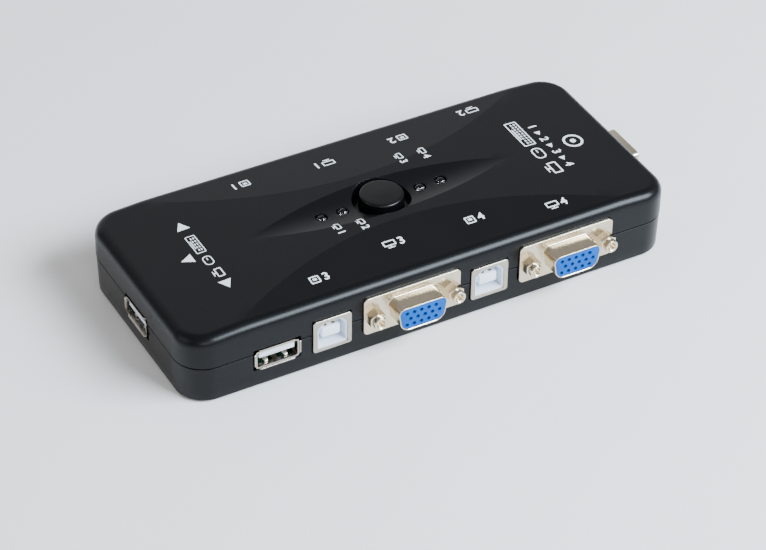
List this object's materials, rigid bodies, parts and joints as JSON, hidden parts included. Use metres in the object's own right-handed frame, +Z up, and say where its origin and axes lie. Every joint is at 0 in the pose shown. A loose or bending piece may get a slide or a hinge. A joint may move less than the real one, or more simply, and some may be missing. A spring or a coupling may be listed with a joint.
{
  "type": "kvm switch",
  "caption": "Low rounded desktop box that switches one keyboard, mouse and screen between several computers, with sockets on all sides and a push button on top.",
  "frame": {"origin": "on the table under the middle of the whole object", "axes": "+X along the length towards the monitor socket, +Y towards the rear side, +Z up"},
  "size_m": [0.161, 0.0786, 0.0255],
  "materials": {
    "case_plastic": "fine satin texture, black",
    "button_plastic": "smooth black",
    "board_laminate": "dark green solder mask",
    "switch_plastic": "dark moulded",
    "clear_lens": "water-clear moulded lens",
    "bright_steel": "plated",
    "warm_nickel": "bright nickel plate with a warm cast",
    "pale_nickel": "satin nickel plate",
    "blue_plastic": "azure moulded",
    "white_plastic": "white moulded",
    "gold_contacts": "gold flash",
    "chip_plastic": "moulded epoxy",
    "capacitor_sleeve": "shrink sleeve",
    "foot_rubber": "soft matt"
  },
  "bodies": {
    "case": {"top_cover": "case_plastic", "bottom_cover": "case_plastic", "circuit_board": "board_laminate", "switch_body": "switch_plastic", "lamp_1": "clear_lens", "lamp_2": "clear_lens", "lamp_3": "clear_lens", "lamp_4": "clear_lens", "lamp_leads": "bright_steel", "video_1_shell": "warm_nickel", "video_1_insulator": "blue_plastic", "video_1_contacts": "gold_contacts", "video_1_jackscrews": "warm_nickel", "video_2_shell": "warm_nickel", "video_2_insulator": "blue_plastic", "video_2_contacts": "gold_contacts", "video_2_jackscrews": "warm_nickel", "video_3_shell": "warm_nickel", "video_3_insulator": "blue_plastic", "video_3_contacts": "gold_contacts", "video_3_jackscrews": "warm_nickel", "video_4_shell": "warm_nickel", "video_4_insulator": "blue_plastic", "video_4_contacts": "gold_contacts", "video_4_jackscrews": "warm_nickel", "video_out_shell": "warm_nickel", "video_out_insulator": "blue_plastic", "video_out_contacts": "gold_contacts", "video_out_jackscrews": "warm_nickel", "data_1_shell": "pale_nickel", "data_1_insulator": "white_plastic", "data_1_contacts": "gold_contacts", "data_2_shell": "pale_nickel", "data_2_insulator": "white_plastic", "data_2_contacts": "gold_contacts", "data_3_shell": "pale_nickel", "data_3_insulator": "white_plastic", "data_3_contacts": "gold_contacts", "data_4_shell": "pale_nickel", "data_4_insulator": "white_plastic", "data_4_contacts": "gold_contacts", "console_front_shell": "pale_nickel", "console_front_insulator": "white_plastic", "console_front_contacts": "gold_contacts", "console_rear_shell": "pale_nickel", "console_rear_insulator": "white_plastic", "console_rear_contacts": "gold_contacts", "console_left_shell": "pale_nickel", "console_left_insulator": "white_plastic", "console_left_contacts": "gold_contacts", "control_chip": "chip_plastic", "video_chips": "chip_plastic", "crystal": "bright_steel", "capacitors": "capacitor_sleeve", "cover_screws": "bright_steel", "board_screws": "bright_steel", "rubber_feet": "foot_rubber"},
    "button": {"push_button": "button_plastic"},
    "plunger": {"switch_plunger": "switch_plastic"}
  },
  "joints": [
    {"name": "button_press", "type": "slide", "parent": "case", "child": "button", "axis": [0, 0, -1], "range_m": [0, 0.0005], "stiffness_N_per_m": 3000, "springref_m": -0.0001},
    {"name": "plunger_press", "type": "slide", "parent": "case", "child": "plunger", "axis": [0, 0, -1], "range_m": [0, 0.0005]}
  ],
  "couplings": [
    {"joint": "plunger_press", "follows": "button_press", "ratio": 1}
  ]
}
